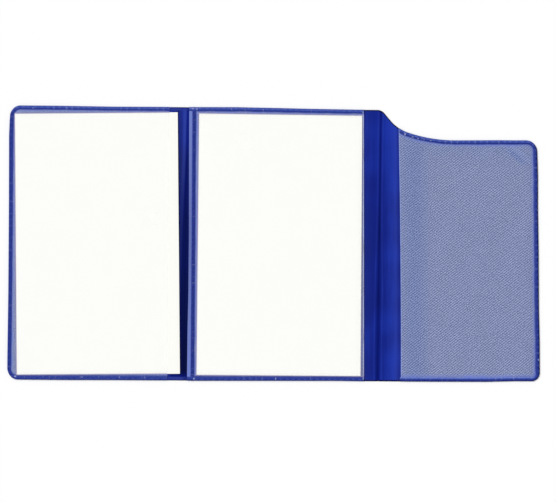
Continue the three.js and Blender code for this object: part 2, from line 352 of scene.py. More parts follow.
def makePiece(name, material, x, y, upper, lower, kept=None, flat=None, masks=None):
    # A closed sheet over a grid of columns and rows: an upper skin, a lower skin and walls round what
    # is kept. A mask is given for both skins, or as a pair for the upper and the lower one
    columns, rows = x.shape
    if kept is None:
        kept = np.ones((columns - 1, rows - 1), bool)
    total = columns * rows
    index = np.arange(total).reshape(columns, rows)
    a, b, c, d = index[:-1, :-1], index[1:, :-1], index[1:, 1:], index[:-1, 1:]
    faces = [np.stack([a, b, c, d], -1)[kept], np.stack([a, d, c, b], -1)[kept] + total]
    around = np.pad(kept, 1)
    sides = [(around[1:-1, :-2], a, b), (around[2:, 1:-1], b, c),
             (around[1:-1, 2:], c, d), (around[:-2, 1:-1], d, a)]
    for neighbour, p, q in sides:
        edge = kept & ~neighbour
        p, q = p[edge], q[edge]
        faces.append(np.stack([q, p, p + total, q + total], -1))
    faces = np.vstack(faces)
    columnStep = (x[1, 0] - x[0, 0], y[1, 0] - y[0, 0])
    rowStep = (x[0, 1] - x[0, 0], y[0, 1] - y[0, 0])
    if columnStep[0] * rowStep[1] - columnStep[1] * rowStep[0] < 0:    # laid out the other way round
        faces = faces[:, ::-1]
    used, faces = np.unique(faces, return_inverse=True)
    faces = faces.reshape(-1, 4)
    heights = np.concatenate([upper.ravel(), lower.ravel()])
    points = np.stack([np.tile(x.ravel(), 2), np.tile(y.ravel(), 2), heights], -1)[used]
    u, v = (x, y) if flat is None else flat
    flatPoints = np.stack([np.tile(u.ravel(), 2), np.tile(v.ravel(), 2)], -1)[used]

    mesh = bpy.data.meshes.new(name)
    mesh.from_pydata((points * mm).tolist(), [], faces.tolist())
    mesh.validate()
    layer = mesh.uv_layers.new(name="flat")
    vertices = np.zeros(len(mesh.loops), dtype=np.int32)
    mesh.loops.foreach_get("vertex_index", vertices)
    layer.data.foreach_set("uv", flatPoints[vertices].ravel().astype(np.float32))
    for key, values in (masks or {}).items():
        attribute = mesh.attributes.new(key, "FLOAT", "POINT")
        above, below = values if isinstance(values, tuple) else (values, values)
        values = np.stack([np.broadcast_to(above, x.shape), np.broadcast_to(below, x.shape)])
        attribute.data.foreach_set("value", values.ravel()[used].astype(np.float32))
    mesh.polygons.foreach_set("use_smooth", np.ones(len(mesh.polygons), dtype=bool))
    mesh.set_sharp_from_angle(angle=sharpAngle)
    mesh.materials.append(material)
    return addThing(name, mesh)


# Materials. Patterns lie on the map "flat", in millimetres on the laid-out film, so they bend with it
def newMaterial(name):
    material = bpy.data.materials.new(name)
    material.use_nodes = True
    tree = material.node_tree
    tree.nodes.clear()
    return material, tree


def addSurface(tree, look, colour, height, alpha=1.0):
    # The fine relief and the shading that each material ends with, by its own dictionary
    strength, depth = look["relief"]
    relief = addNode(tree, "Bump", {"Height": height, "Strength": strength, "Distance": depth})
    surface = addNode(tree, "BsdfPrincipled", {
        "Base Color": colour,
        "Alpha": alpha,
        "Roughness": look["roughness"],
        "IOR": look["ior"],
        "Specular IOR Level": look["specular"],
        "Normal": relief,
    })
    addNode(tree, "OutputMaterial", {"Surface": surface})


# Calendered PVC: rolled between hot steel rollers, so it is smooth with a soft gloss and faint streaks
vinyl = {
    "stops": [(0.0, "#02051c"), (0.3, "#040b3c"), (0.5, "#050f54"), (0.8, "#091c80"), (1.0, "#1632aa")],
    "masks": {
        "paintedSheen": "#5f6fae",      # painted sheen: the white room's reflection, painted in as a pale bloom
        "pressed": "#2c398d",   # where the welding bar has flattened it
    },
    # What mottles it: how wide in mm, how narrow for its length, how finely, and how much
    "mottle": [(0.9, 0.045, 3.0, 0.16), (9, 1, 2.0, 0.05)],
    "grain": 0.35,          # mm, coarsened from the real 0.1 mm so that it shows
    "relief": (0.12, 0.00004),    # strength and depth, in metres
    "roughness": 0.45,
    "ior": 1.53,
    "specular": 0.02,       # low, because the whole room is white to it; its sheen is painted into the colour instead
}
# Fused PVC: film and cover melted together under a hot bar, so it is deep blue and uneven, with painted light
# and shade along its sides and painted glints at its stitches
fused = {
    "stops": [(0.0, "#050b30"), (0.2, "#1b2874"), (0.4, "#2b3a8e"),
              (0.6, "#3b4da2"), (0.8, "#5467b6"), (1.0, "#7b8ad0")],
    "masks": {"glint": "#c3cbef"},
    "mottle": [(1.3, 1, 3.0, 0.3)],
    "grain": 0.3,           # coarsened as well
    "relief": (0.2, 0.00005),
    "roughness": 0.38,
    "ior": 1.53,
    "specular": 0.05,
}


def opaqueVinyl(name, look):
    # The mask "tone", once mottled, is the place in the ramp. Each other mask mixes in its own colour
    material, tree = newMaterial(name)
    flat = addNode(tree, "UVMap", uv_map="flat")
    # On the cover and the welds the mask tone also carries painted light and shade
    level = addNode(tree, "Attribute", attribute_name="tone").outputs["Fac"]
    middle = 0
    for width, narrowness, detail, swing in look["mottle"]:
        along = addNode(tree, "Mapping", {"Vector": flat, "Scale": (1, narrowness, 1)})
        texture = addNode(tree, "TexNoise", {"Vector": along, "Scale": 1 / width, "Detail": detail})
        level = addNode(tree, "Math", {0: texture, 1: swing, 2: level}, operation="MULTIPLY_ADD")
        middle += swing / 2
    level = addNode(tree, "Math", {0: level, 1: middle}, operation="SUBTRACT", use_clamp=True)
    colour = addNode(tree, "ValToRGB", {"Fac": level}, stops=look["stops"]).outputs["Color"]
    for key, shade in look["masks"].items():
        factor = addNode(tree, "Attribute", attribute_name=key).outputs["Fac"]
        colour = addNode(tree, "Mix", {"Factor": factor, "A": colour, "B": toLinear(shade)},
                         data_type="RGBA").outputs["Result"]
    grain = addNode(tree, "TexNoise", {"Vector": flat, "Scale": 1 / look["grain"], "Detail": 2.0})
    addSurface(tree, look, colour, grain)
    return material


# Clear PVC embossed by a patterned roller: two sets of fine slanting ridges scatter light, so it looks
# frosted over the dark cover, while a white sheet against it shows through as if it weren't there
clear = {
    "stops": [(0.0, "#56618c"), (0.5, "#7e88ae"), (1.0, "#a8b1d6")],    # from shade to the ridges' crests
    "tint": "#bcdcff",       # what its colour is multiplied by where the empty pocket is made bluer, and in the pull's painted shade
    "glow": "#7283d0",       # painted light, bluish, where the film slopes up off a weld and on the left fold's flange
    "wet": "#3a4790",        # where it clings to the cover
    "drapeShade": "#8d86b4",     # painted shade where it bends over a sheet's edge
    "veil": "#e4e5e7",       # over a sheet
    "mouth": "#94aaec",      # painted highlight at the cut edge of a mouth and on the pull's crest
    "frostedAlpha": 0.93,    # of each of its two skins
    "veilAlpha": 0.118,      # the same over a sheet
    "roughness": 0.38,
    "specular": 0.15,
    "ior": 1.53,
    "ridgePitch": 1.04,      # mm
    "ridgeAngle": 38,        # degrees from +X
    "crossPitch": 1.29,
    "crossAngle": -35,
    "crossShare": 0.34,
    "swing": 0.33,
    "wobbleWidth": 15,       # mm
    "wobble": 2.4,
    "unevenWidth": 2.4,      # mm, from a crisply embossed spot to a faint one
    "unevenRange": (0.3, 0.7),    # of the noise
    "crispness": (0.5, 1.5),
    "patchWidth": 5,         # mm
    "patchSwing": 0.15,
    "speckleWidth": 0.5,     # mm, coarsened from the real 0.2 mm so that it shows
    "speckleSwing": 2.3,
    "edgeBlur": 0.35,        # mm over which a sheet's edge comes up through the film
    "drapeWidth": 0.5,       # mm
    "relief": (0.2, 0.00005),
}


def embossedClearVinyl(name, sheet=None):
    # sheet is the footprint of a sheet, as its corners anticlockwise
    material, tree = newMaterial(name)
    flat = addNode(tree, "UVMap", uv_map="flat")
    tint, glow, wet, edge = (addNode(tree, "Attribute", attribute_name=key).outputs["Fac"]
                             for key in ("tint", "glow", "wet", "edge"))
    waves = []
    for pitch, angle in (("ridgePitch", "ridgeAngle"), ("crossPitch", "crossAngle")):
        turn = math.radians(clear[angle])
        across = (math.tau * math.sin(turn) / clear[pitch], -math.tau * math.cos(turn) / clear[pitch], 0)
        phase = addNode(tree, "VectorMath", {0: flat, 1: across}, operation="DOT_PRODUCT")
        scale = (1 + len(waves)) / clear["wobbleWidth"]
        drift = addNode(tree, "TexNoise", {"Vector": flat, "Scale": scale})
        phase = addNode(tree, "Math", {0: drift, 1: clear["wobble"], 2: phase.outputs["Value"]},
                        operation="MULTIPLY_ADD")
        waves.append(addNode(tree, "Math", {0: phase}, operation="SINE"))
    pattern = addNode(tree, "Math", {0: waves[1], 1: clear["crossShare"], 2: waves[0]},
                      operation="MULTIPLY_ADD")
    uneven, patches, specks = (
        addNode(tree, "TexNoise", {"Vector": flat, "Scale": 1 / clear[width], "Detail": detail})
        for width, detail in (("unevenWidth", 2.0), ("patchWidth", 3.0), ("speckleWidth", 1.0)))
    (low, high), (faint, crisp) = clear["unevenRange"], clear["crispness"]
    crispness = addNode(tree, "MapRange", {"Value": uneven, "From Min": low, "From Max": high,
                                           "To Min": faint, "To Max": crisp})
    pattern = addNode(tree, "Math", {0: pattern, 1: crispness}, operation="MULTIPLY")
    level = 0.5 - (clear["patchSwing"] + clear["speckleSwing"]) / 2
    for texture, swing in ((patches, "patchSwing"), (specks, "speckleSwing"), (pattern, "swing")):
        level = addNode(tree, "Math", {0: texture, 1: clear[swing], 2: level}, operation="MULTIPLY_ADD")
    layers = [(tint, "tint", "MULTIPLY"), (glow, "glow", "MIX"), (wet, "wet", "MIX")]
    alpha, height = clear["frostedAlpha"], pattern
    if sheet is not None:
        # How far each point lies inside the footprint, which is the least of its depths past the four sides
        inside = 1000.0    # more than any depth
        for (ax, ay), (bx, by) in zip(sheet, np.roll(sheet, -1, axis=0)):
            length = math.hypot(bx - ax, by - ay)
            inward = ((ay - by) / length, (bx - ax) / length, 0)
            depth = addNode(tree, "VectorMath", {0: flat, 1: inward}, operation="DOT_PRODUCT")
            side = ax * inward[0] + ay * inward[1]
            depth = addNode(tree, "Math", {0: depth.outputs["Value"], 1: side}, operation="SUBTRACT")
            inside = addNode(tree, "Math", {0: inside, 1: depth}, operation="MINIMUM")
        # Painted shade where the film bends over the sheet's edge, and the veil over the sheet
        drapeShade, veil = (addNode(tree, "MapRange", {"Value": inside, "From Min": start, "From Max": end},
                                interpolation_type="SMOOTHSTEP")
                        for start, end in ((-clear["drapeWidth"], 0.0), (0.0, clear["edgeBlur"])))
        layers += [(drapeShade, "drapeShade", "MIX"), (veil, "veil", "MIX")]
        alpha = addNode(tree, "MapRange", {
            "Value": veil, "To Min": clear["frostedAlpha"], "To Max": clear["veilAlpha"],
        })
        alpha = addNode(tree, "Math", {0: alpha, 1: edge}, operation="MAXIMUM")
        frost = addNode(tree, "Math", {0: 1.0, 1: veil}, operation="SUBTRACT")
        height = addNode(tree, "Math", {0: pattern, 1: frost}, operation="MULTIPLY")
    layers.append((edge, "mouth", "MIX"))
    colour = addNode(tree, "ValToRGB", {"Fac": level}, stops=clear["stops"]).outputs["Color"]
    for factor, key, blend in layers:
        colour = addNode(tree, "Mix", {"Factor": factor, "A": colour, "B": toLinear(clear[key])},
                         data_type="RGBA", blend_type=blend).outputs["Result"]
    addSurface(tree, clear, colour, height, alpha)
    return material


# Uncoated card: pressed wood fibre, so it is matt and bright with a barely visible mottle
card = {
    "stops": [(0.0, "#fbfbf5"), (1.0, "#fefefa")],
    "fibreWidth": 1.2,      # mm, in clumps, as single fibres are too fine to show
    "roughness": 0.9,
    "specular": 0.1,
    "ior": 1.5,
    "relief": (0.15, 0.00005),
}


def uncoatedCard():
    material, tree = newMaterial("uncoatedCard")
    flat = addNode(tree, "UVMap", uv_map="flat")
    fibres = addNode(tree, "TexNoise", {"Vector": flat, "Scale": 1 / card["fibreWidth"], "Detail": 4.0})
    colour = addNode(tree, "ValToRGB", {"Fac": fibres}, stops=card["stops"])
    addSurface(tree, card, colour, fibres)
    return material


def addFloor():
    material, tree = newMaterial("whitePaperGround")
    surface = addNode(tree, "BsdfPrincipled", {
        "Base Color": toLinear(light["floorColour"]),
        "Roughness": 1.0,
        "Specular IOR Level": 0.0,
    })
    addNode(tree, "OutputMaterial", {"Surface": surface})
    reach, z = light["floorReach"], light["floorLevel"] * mm
    mesh = bpy.data.meshes.new("floor")
    mesh.from_pydata([(-reach, -reach, z), (reach, -reach, z), (reach, reach, z), (-reach, reach, z)],
                     [], [(0, 1, 2, 3)])
    mesh.materials.append(material)
    floor = addThing("floor", mesh)


addCamera()
addLight()
addFloor()
calendered = opaqueVinyl("calenderedPvc", vinyl)
fusedEdge = opaqueVinyl("fusedPvc", fused)
paper = uncoatedCard()
print("camera, light and shared materials made")


# The two blank sheets' outlines, which the cover and the films follow too
sheets = {
    # How far each sheet is out of square at its corners, anticlockwise from the lower left one
    "leftSkew": [(0, 0), (0, -0.75), (0.15, 0.35), (-0.6, 0.15)],
    "middleSkew": [(-0.12, -0.35), (0, -0.55), (0.35, 0.4), (-0.3, 0.15)],
    "middleReach": 9,      # how far past the middle sheet its film stays clear, for when the sheet slides
    "pitch": 2.5,
    "wave": (0.02, 60),
    "rims": (0.02, 0.06, 0.15),    # how far in the closer grid lines of a rounded edge lie
    "edgeRadius": 0.04,
}


def sheetCorners(node):
    # The corners of the solid's outline, in the same order
    points = {(round(v.co.x / mm, 4), round(v.co.y / mm, 4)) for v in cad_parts[node].data.vertices}
    middle = np.mean(list(points), axis=0)
    return np.array(sorted(points, key=lambda p: math.atan2(p[1] - middle[1], p[0] - middle[0])))[:4]


leftSheet = sheetCorners("left_document") + sheets["leftSkew"]
middleSheet = sheetCorners("middle_document") + sheets["middleSkew"]


def sheetEdgeAt(y):
    # The left sheet's edge that stands out of its pocket
    return np.interp(y, leftSheet[1:3, 1], leftSheet[1:3, 0])


# The cover: one sheet of blue vinyl, made as three panels and the two strips at the folds
cover = {
    "rimRadius": 0.1,
    # The pressed border band, which runs on past the left pocket's mouth: where it starts and ends in from
    # the cut edge, how wide its slopes are, and how it rises at the mouth and fades before the fold
    "band": (0.15, 1.95, 0.25),
    "bandEnds": (0.4, 0.1, 0.3),
    "bandHeight": 0.12,
    # The print of the welds on the back: how high, how far in, and half its width
    "printHeight": 0.05,
    "print": (1.0, 0.9),
    # The left fold's crease: how far outside the fold line it lies, how it bends out below the middle and
    # over how far, and half its width
    "creaseDepth": 0.1,
    "leftCrease": (0.8, 0.5, 50, 0.7),
    # The right one: where it lies from the strip's middle, how it leans, and from where and over how far
    # it and the two ridges beside it widen towards the foot
    "rightCrease": (-0.2, 0.0144),
    "widening": (30, 60),
    "rightCreaseWidth": (0.9, 0.65),
    "ridgeReach": (1.15, 0.75),
    "leftRidgeReach": 1.05,    # times as far out as the right one
    "ridgeWidth": 0.6,
    "ridgeHeight": 0.04,
    "ridgeEnd": 1.5,
    "tone": 0.86,
    "paintedSheen": 0.1,
    # Painted shade and painted sheen up the left fold, and across the right one, by place: how deep the
    # colour is and how much sheen it has
    "leftPaintedShade": [(-60, 0.37), (-24, 0.47), (22, 0.58), (50, 0.74), (64, 0.86)],
    "leftSheens": [(-60, 0.012), (-24, 0.08), (22, 0.14), (64, 0.17)],
    "rightPaintedShade": [(-7.9, 0.78), (-3, 0.77), (2.3, 0.8), (5, 0.86), (8.2, 0.9), (9.6, 0.8)],
    "rightSheens": [(-7.9, 0.07), (-3, 0.035), (2.8, 0.035), (6.5, 0.08), (8.4, 0.12), (9.8, 0.08)],
    # How far from the left fold the painted sheen ends
    "leftSheenEdges": [(-50, 4.2), (-25, 3.6), (5, 2.9), (46, 1.35), (66, 1.0)],
    # Strokes of painted light and shade on the bare cover: the middle of each and half its width
    "streak": (0.9, 1.5),
    "paintedSheetShadow": (0.2, 0.6),
    "paintedSheetShade": (1.1, 1.5),
    "paintedTopShade": (2.7, 0.8),
    "paintedMouthShadow": (0.2, 0.5),
    # How much lighter the colour is in them, in creases, on ridges and towards the top and the foot: all
    # painted light and shade, with painted shade where the painted sheen ends
    "leftPaintedLight": {"crease": -0.04, "clear": -0.06, "streak": 0.09, "paintedSheetShadow": -0.3,
                   "paintedSheetShade": -0.12, "top": -0.25, "foot": 0.34},
    "rightPaintedLight": {"crease": -0.2, "paintedMouthShadow": -0.25, "ridge": 0.03, "lowRidge": 0.02,
                    "top": 0.07, "foot": 0.06},
    "cutShadeWidth": 0.6,          # painted shade: how far in from the cut edge, beside the step and the left fold, a dark line reaches
    # How uneven the colour is, in front and on the back, and over what length
    "frontWave": (0.03, 22),
    "backWave": (0.02, 40),
}


def stroke(key, t):
    middle, halfWidth = cover[key]
    return bump((t - middle) / halfWidth)


def coverSkins(x, y):
    # Heights and colour masks for any point of the cover
    d = edgeDistance(x, y)
    rim = cover["rimRadius"]
    fall = rim - np.sqrt(np.clip(rim ** 2 - np.clip(rim - d, 0, rim) ** 2, 0, None))
    upper = coverTop - fall
    lower = fall + cover["printHeight"] * stroke("print", d)

    # The pressed band on the bare stretch between the left mouth and the left fold
    start, end, slope = cover["band"]
    rise, gap, fade = cover["bandEnds"]
    band = ease((d - start) / slope) * ease((end - d) / slope)
    band *= ease((x - leftMouth + rise) / rise) * ease((leftFold - gap - x) / fade)
    upper += cover["bandHeight"] * band

    # The two creases. The right one widens towards the foot, between two low ridges
    outside, bend, reach, width = cover["leftCrease"]
    left = bump((x - (leftFold - outside - bend * ease(-y / reach))) / width)
    place, slope = cover["rightCrease"]
    across = x - (rightFold + place + slope * y)
    start, reach = cover["widening"]
    low = ease((start - y) / reach)
    width, widening = cover["rightCreaseWidth"]
    right = bump(across / (width + widening * low))
    reach, widening = cover["ridgeReach"]
    shoulder = reach + widening * low
    ridge = bump((across + shoulder * cover["leftRidgeReach"]) / cover["ridgeWidth"])
    ridge = ridge + bump((across - shoulder) / cover["ridgeWidth"])
    upper -= cover["creaseDepth"] * (left + right) * (1 - band)
    upper += cover["ridgeHeight"] * ridge * ease(d / cover["ridgeEnd"])

    # Colour, with painted light, shade and sheen: even under the films, deep beside the left fold, lighter to
    # the right of the right one
    tone, paintedSheen = cover["tone"], cover["paintedSheen"]
    paintedLight = cover["leftPaintedLight"]
    bareLeft = ease((x - leftMouth) / 2) * ease(leftFold + 1 - x)
    past = leftFold - x - curveThrough(cover["leftSheenEdges"], y)
    sheened = ease(past / 0.8 + 0.5)
    # A painted highlight streak up the bare stretch, towards the top
    streak = stroke("streak", past) * ease((y - 15) / 30)
    fromSheet = x - sheetEdgeAt(y)
    # Painted shadow of the left sheet's edge on the bare cover
    paintedSheetShadow = stroke("paintedSheetShadow", fromSheet) * ease((y + 20) / 30)
    # Painted shade, deepening down the left fold, darker in its crease and where the painted sheen ends
    leftShadedTone = curveThrough(cover["leftPaintedShade"], y) + paintedLight["crease"] * left + paintedLight["clear"] * (1 - sheened)
    leftShadedTone += paintedLight["streak"] * streak + paintedLight["paintedSheetShadow"] * paintedSheetShadow
    # Painted shade further out from the sheet's edge, a painted dark line above the sheet at the top, and
    # painted light along the foot
    leftShadedTone += paintedLight["paintedSheetShade"] * stroke("paintedSheetShade", fromSheet) * ease(y / 20 - 1)
    atTop = paintedLight["top"] * stroke("paintedTopShade", d) * (fromSheet < 0.5)
    leftShadedTone += np.where(y > 0, atTop, paintedLight["foot"] * ease((4.6 - d) / 2.2))
    # Painted sheen: it fades out past its edge, is stronger on the painted highlight streak, and is gone in
    # the sheet's painted shadow
    leftSheen = curveThrough(cover["leftSheens"], y) * (0.1 + 0.9 * sheened) * (0.5 + 0.5 * streak)
    leftSheen *= 1 - paintedSheetShadow
    tone = tone + (leftShadedTone - tone) * bareLeft
    paintedSheen = paintedSheen + (leftSheen - paintedSheen) * bareLeft

    # Across the right fold: painted shade left of the crease, in it and beside the middle mouth, painted
    # highlights on the ridges, and lighter towards the top and the foot
    paintedLight = cover["rightPaintedLight"]
    bareRight = ease(x - middleMouth + 1) * ease(rightMouth + 1 - x)
    across = x - rightFold
    rightShadedTone = curveThrough(cover["rightPaintedShade"], across) + paintedLight["crease"] * right
    rightShadedTone += paintedLight["paintedMouthShadow"] * stroke("paintedMouthShadow", x - middleMouth)
    rightShadedTone += (paintedLight["ridge"] + paintedLight["lowRidge"] * low) * ridge
    rightShadedTone += paintedLight["top"] * ease((y - 15) / 30) + paintedLight["foot"] * ease(-y / 30 - 1)
    rightSheen = curveThrough(cover["rightSheens"], across) * (1 - right) + 0.03 * ridge
    tone += (rightShadedTone - tone) * bareRight
    paintedSheen += (rightSheen - paintedSheen) * bareRight

    # Painted shade: a dark line along the cut edge of both bare stretches, which also takes away the painted
    # sheen
    cut = bareRight * (0.65 + 0.3 * ease((across + 2) / 3)) + 0.6 * bareLeft
    cut = cut * ease((cover["cutShadeWidth"] - d) / 0.3)
    tone = tone * (1 - cut) + softWaves(x, y, 5, cover["frontWave"])
    paintedSheen *= 1 - cut
    back = cover["tone"] + softWaves(x, y, 6, cover["backWave"])
    return upper, lower, {
        "tone": (np.clip(tone, 0, 1), back),
        "paintedSheen": (np.clip(paintedSheen, 0, 1), cover["paintedSheen"]),
        "pressed": (band * (1 - 0.5 * ease(fromSheet / 3)), 0),
    }


# How far in from an edge the closer grid lines lie, up a panel and along it
coverInsets = (0, 0.03, 0.08, 0.16, 0.3, 0.45, 0.9, 1.4, 1.7, 1.95, 2.3)
rimInsets = (0.03, 0.08, 0.16, 0.3, 0.45, 0.9, 1.4, 1.9, 2.4, 3.0, 3.8, 4.6, 5.4)


def makeCover(name, node, columns):
    x, y = panelGrid(columns, coverInsets)
    upper, lower, masks = coverSkins(x, y)
    piece = makePiece(name, calendered, *settled(x, y), upper, lower, masks=masks)
    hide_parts(node)
    return piece


def closer(pitch, reach):
    # Places for the closer lines where the cover is bare
    return np.arange(pitch, reach, pitch)


leftCover = makeCover("leftCoverPanel", "cover_left_panel", places(
    leftEdge, leftStripStart, grid["panel"], rimInsets, closer(0.3, leftStripStart - leftMouth + 0.6)))
leftStrip = makeCover("leftFoldStrip", "left_fold_strip", places(leftStripStart, leftFold, grid["strip"]))
middleCover = makeCover("middleCoverPanel", "cover_middle_panel", places(
    leftFold, rightStripStart, grid["panel"], (0.2, 0.5, 0.9), closer(0.25, 7.1)))
rightStrip = makeCover("rightFoldStrip", "right_fold_strip", places(
    rightStripStart, rightStripEnd, grid["strip"]))
rightCover = makeCover("rightCoverPanel", "cover_right_panel", places(
    rightStripEnd, rightEdge, grid["pitch"], closer(0.25, 9.1), rimInsets))
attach(leftCover, "left_panel")
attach(middleCover, "middle_panel")
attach(rightCover, "right_panel")
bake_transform(leftStrip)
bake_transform(rightStrip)
print("cover made")


def makeSheet(name, node, outlineCorners, seed):
    low, high = span(node, 2)
    a, b, c, d = outlineCorners
    width, height = math.dist(a, b), math.dist(a, d)
    s = places(0, width, sheets["pitch"], sheets["rims"], sheets["rims"])[:, None, None] / width
    t = places(0, height, sheets["pitch"], sheets["rims"], sheets["rims"])[None, :, None] / height
    points = (1 - s) * (1 - t) * a + s * (1 - t) * b + s * t * c + (1 - s) * t * d
    x, y = points[..., 0], points[..., 1]
    s, t = s[..., 0], t[..., 0]
    inside = np.minimum(np.minimum(s, 1 - s) * width, np.minimum(t, 1 - t) * height)
    fall = sheets["edgeRadius"] * (1 - np.clip(inside / sheets["rims"][-1], 0, 1)) ** 2
    wave = softWaves(x, y, seed, sheets["wave"])
    piece = makePiece(name, paper, x, y, high - fall + wave, low + fall + wave)
    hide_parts(node)
    return piece


leftCard = makeSheet("leftCard", "left_document", leftSheet, 21)
middleCard = makeSheet("middleCard", "middle_document", middleSheet, 22)
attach(leftCard, "left_sheet")
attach(middleCard, "middle_sheet")
print("sheets made")


# The pocket films. A pair is a height and a length for waves, and else how much there is at an edge and
# how far in it fades out
film = {
    "slope": 0.55,         # how far the film takes to rise off the weld
    "emptyRise": 0.22,     # how high it stands with nothing under it
    "wave": (0.05, 30),
    "emptyWave": (0.1, 24),
    "mouthLift": (0.12, 5),
    "mouthEvenness": 0.6,
    "mouthWave": (0.4, 30),
    "highest": 0.52,
    # How much painted light the film has beside a weld, where it slopes up, and how it clings to the cover
    # there, at the foot over a wider band
    "bandEvenness": 0.8,
    "bandWave": (0.25, 9),
    "weldGlow": (1.0, 1.9),
    "weldCling": 0.85,
    "clingWidth": 0.7,
    "footClingWidth": 0.95,
    # The painted highlight along a mouth's cut edge, and how much of it each pocket shows
    "mouthLight": (0.9, 0.6),
    "mouthShares": {"left_pocket_film": 0, "middle_pocket_film": 0.85, "right_pocket_film": 1},
    # The flange beside the left fold: how much painted light it has, how it clings, and its free edge's way
    # in, up the seam
    "flangeGlows": [(-66, 0.95), (-20, 0.6), (5, 0.55), (30, 0.7), (66, 0.9)],
    "flangeClings": [(-66, 0.0), (-20, 0.3), (5, 0.42), (30, 0.25), (66, 0.0)],
    "flangeEdges": [(-66, 0.08), (-45, 0.15), (-25, 0.45), (5, 0.5), (46, 0.25), (66, 0.2)],
    # The empty pocket's film, made bluer and darker towards its mouth, its top and its side
    "mouthTint": 0.34,
    "mouthTintReach": (6, 19),
    "topTint": (0.18, 18),
    "hollow": (0.07, 9, 8),    # how much, its middle and half its width
    "sideCling": (0.14, 8),
    # How far its mouth lies from straight, and how far in from there that takes to fade out
    "mouthPlaces": [(-70, 0.5), (-36, 0.55), (-5, 0.4), (25, 0.1), (56, -0.3)],
    "mouthReach": 12,
    # The pull in the film at the flap's corner: a crest with a painted highlight, with a hollow of painted
    # shade so many half widths beside it
    "pull": (122.6, 48.2),
    "pullAngle": -40,
    "pullLength": 10,
    "pullWidth": 1.6,
    "pullHollow": 1.7,
    "pullHeight": 0.05,
    "pullLight": 0.22,
    "pullHollowShade": 0.6,
    "pullHollowDark": 0.06,
}
filmInsets = (0, 0.05, 0.15, 1.0, 1.9, 2.1, 2.25, 2.4, 2.55, 2.7, 3.0, 3.4, 3.9, 4.4)
mouthInsets = (0.05, 0.15, 0.3, 0.45, 0.6, 0.8, 1.4)
flangeInsets = [0.05, 0.15, 0.5, 0.8, 1.1, 1.4]
seamInsets = (0, 0.6, 1.3, 2.0, 2.2, 2.4, 2.6, 2.8, 3.1, 3.5, 4.0)


def fading(key, t):
    amount, reach = film[key]
    return amount * ease(1 - t / reach)


def makeFilm(name, material, node, x, y, inside, mouth, seed, filled):
    # inside is the distance past the weld's inner line, and mouth the distance from the mouth's cut edge
    lift = ease(inside / film["slope"])
    rise = pocketCeiling - coverTop if filled else film["emptyRise"]
    rise = (rise + softWaves(x, y, seed, film["wave"] if filled else film["emptyWave"])) * lift
    uneven = film["mouthEvenness"] + softWaves(x, y, seed + 1, film["mouthWave"])
    rise += fading("mouthLift", mouth) * uneven * lift
    lower = coverTop + np.clip(rise, 0.0, film["highest"])
    upper = lower + filmThickness

    uneven = film["bandEvenness"] + softWaves(x, y, seed + 2, film["bandWave"])
    # Painted light where the film slopes up off the weld
    glow = fading("weldGlow", inside) * uneven
    atFoot = filled & (y < bottomEdge + outline["weldWidth"] + film["footClingWidth"])
    clingWidth = np.where(atFoot, film["footClingWidth"], film["clingWidth"])
    uneven = np.clip(uneven, 0, 1)
    wet = film["weldCling"] * ease(1.1 - inside / clingWidth) * uneven
    # Painted highlight along the mouth's cut edge
    edge = film["mouthShares"][node] * (fading("mouthLight", mouth) * uneven)
    tint = np.zeros(x.shape)
    if node == "middle_pocket_film":    # its flange runs to its own free edge
        flange = ease((seamOuter + 0.1 - x) / 0.2)
        # Painted light on the flange, and how it clings
        glow += (curveThrough(film["flangeGlows"], y) - glow) * flange
        wet += (curveThrough(film["flangeClings"], y) - wet) * flange
    if not filled:
        near, far = film["mouthTintReach"]
        tint = film["mouthTint"] * ease((far - mouth) / (far - near)) * (1 - 0.5 * ease(1 - mouth / near))
        tint = np.maximum(tint, fading("topTint", flapTop - y))
        amount, middle, halfWidth = film["hollow"]
        cling = np.maximum(amount * bump((mouth - middle) / halfWidth), fading("sideCling", rightEdge - x))
        # The pull's crest is lifted and gets a painted highlight; its hollow gets painted shade
        turn = math.radians(film["pullAngle"])
        offX, offY = x - film["pull"][0], y - film["pull"][1]
        along = bump((offX * math.cos(turn) + offY * math.sin(turn)) / film["pullLength"])
        across = (offY * math.cos(turn) - offX * math.sin(turn)) / film["pullWidth"]
        crest = along * bump(across)
        hollow = along * bump(across + film["pullHollow"])
        tint = tint + film["pullHollowShade"] * hollow
        wet = wet * ease((y - bottomEdge) / 3 - 1)    # at its foot it stands free
        wet = np.maximum(wet, cling + film["pullHollowDark"] * hollow)
        edge = np.maximum(edge, film["pullLight"] * crest)
        upper = upper + film["pullHeight"] * crest
        lower = lower + film["pullHeight"] * crest
    masks = {"glow": glow, "wet": wet, "tint": tint, "edge": edge}
    masks = {key: np.clip(values, 0, 1) for key, values in masks.items()}
    piece = makePiece(name, material, *settled(x, y), upper, lower, masks=masks)
    piece.visible_shadow = False   # clear film throws no shadow worth the name
    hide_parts(node)
    return piece


def filmGrid(start, end, nearStart, nearEnd):
    return panelGrid(places(start, end, grid["pitch"], nearStart, nearEnd), filmInsets)


